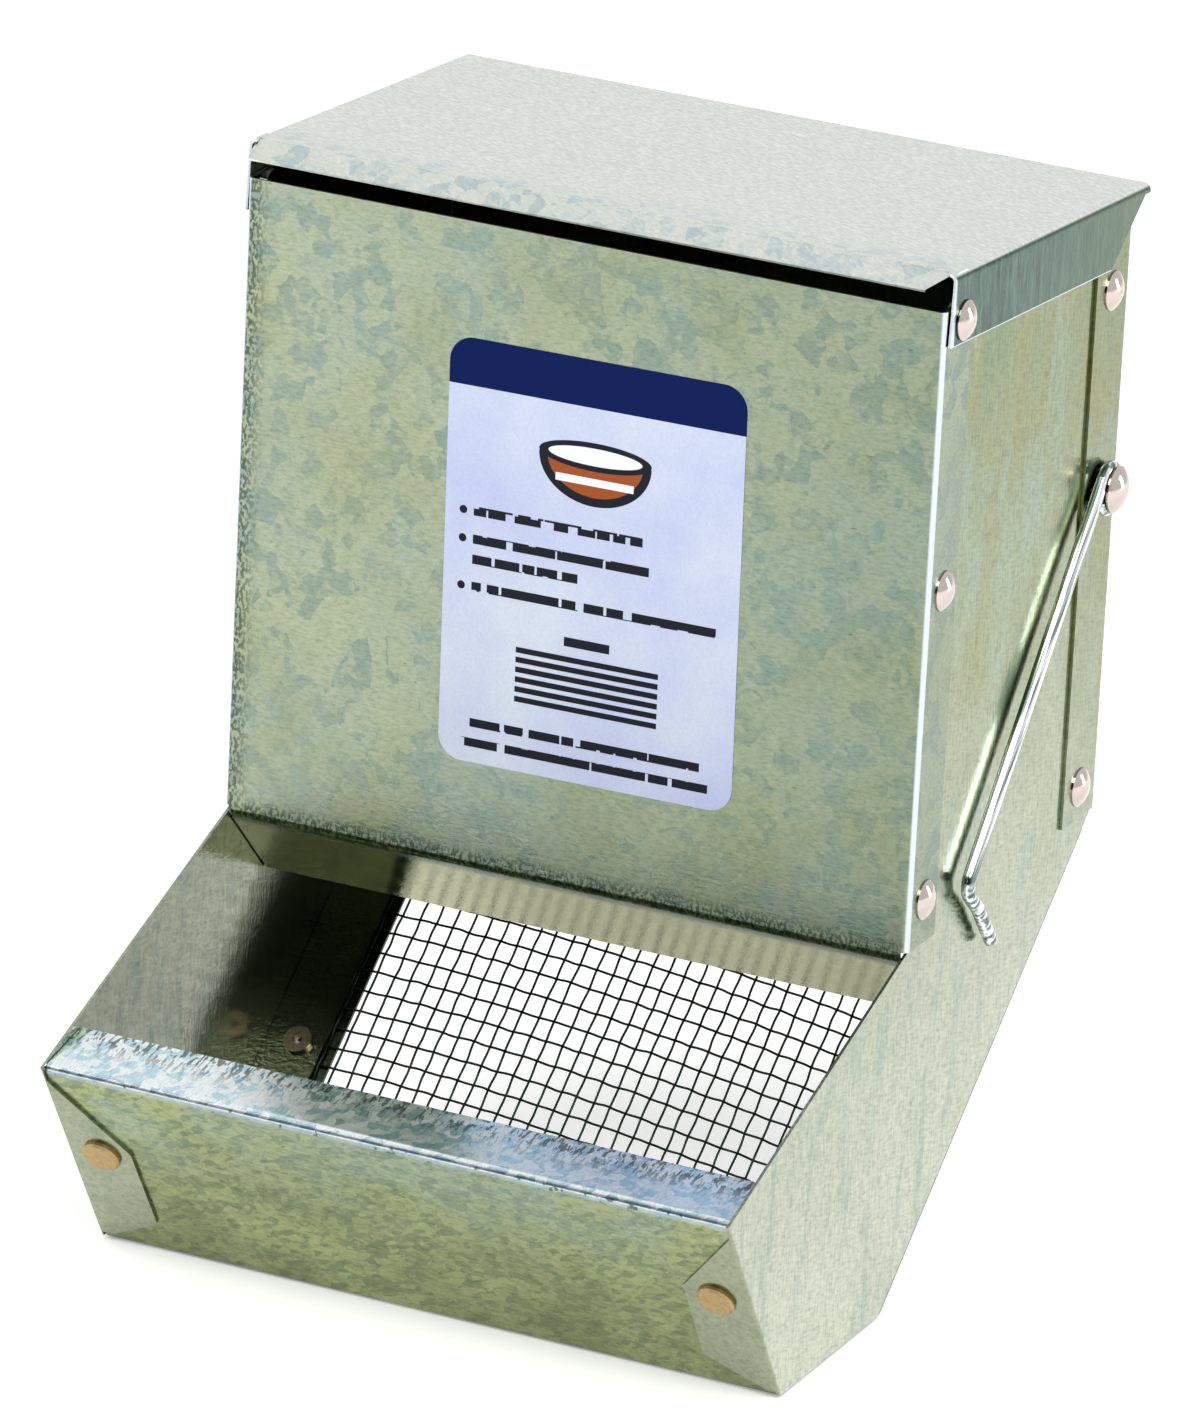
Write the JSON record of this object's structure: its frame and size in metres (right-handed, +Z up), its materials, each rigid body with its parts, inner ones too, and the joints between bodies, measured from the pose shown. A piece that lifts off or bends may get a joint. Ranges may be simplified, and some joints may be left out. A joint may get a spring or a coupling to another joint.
{
  "type": "rabbit hopper feeder",
  "caption": "Sheet metal hopper feeder for a cage: hinged lid, leaning trough with a woven dust screen, and two swinging wire hanger hooks.",
  "frame": {"origin": "centre of the front panel's outer face, which meets the cage", "axes": "-Y into the cage, where the trough reaches; +Z up; +X across the width"},
  "size_m": [0.1438, 0.1535, 0.1914],
  "materials": {
    "galvanised_sheet": "hot-dip galvanised with a spangle",
    "side_sheet": "hot-dip galvanised, finely brushed",
    "lid_sheet": "galvanised, pale and matt",
    "screen_wire": "dark woven wire",
    "hook_wire": "bright zinc-plated wire",
    "domed_rivet": "polished nickel plate",
    "flat_rivet": "dull plated, tan",
    "plain_rivet": "plain zinc",
    "label": "printed sticker, dark blue band on top"
  },
  "bodies": {
    "root": {"front_panel": "galvanised_sheet", "back_panel": "galvanised_sheet", "trough_pan": "galvanised_sheet", "dust_screen": "screen_wire", "front_label": "label", "card_holder": "galvanised_sheet", "card_holder_rivets": "plain_rivet", "left_side_panel": "side_sheet", "left_hook_rivet": "domed_rivet", "left_lid_pivot_rivet": "domed_rivet", "left_front_seam_rivets": "domed_rivet", "left_back_seam_rivets": "domed_rivet", "left_trough_tab_rivet": "flat_rivet", "left_screen_rivets": "plain_rivet", "right_side_panel": "side_sheet", "right_hook_rivet": "domed_rivet", "right_lid_pivot_rivet": "domed_rivet", "right_front_seam_rivets": "domed_rivet", "right_back_seam_rivets": "domed_rivet", "right_trough_tab_rivet": "flat_rivet", "right_screen_rivets": "plain_rivet"},
    "lid": {"lid": "lid_sheet"},
    "left_hook": {"left_hanger_hook": "hook_wire"},
    "right_hook": {"right_hanger_hook": "hook_wire"}
  },
  "joints": [
    {"name": "lid_hinge", "type": "hinge", "parent": "root", "child": "lid", "pos_m": [0, 0.0064, 0.0564], "axis": [1, 0, 0], "range_deg": [0, 75]},
    {"name": "left_hook_swing", "type": "hinge", "parent": "root", "child": "left_hook", "pos_m": [-0.06825, 0.0735, 0.0065], "axis": [1, 0, 0], "range_deg": [-38, 38]},
    {"name": "right_hook_swing", "type": "hinge", "parent": "root", "child": "right_hook", "pos_m": [0.06825, 0.0735, 0.0065], "axis": [1, 0, 0], "range_deg": [-38, 38]}
  ]
}
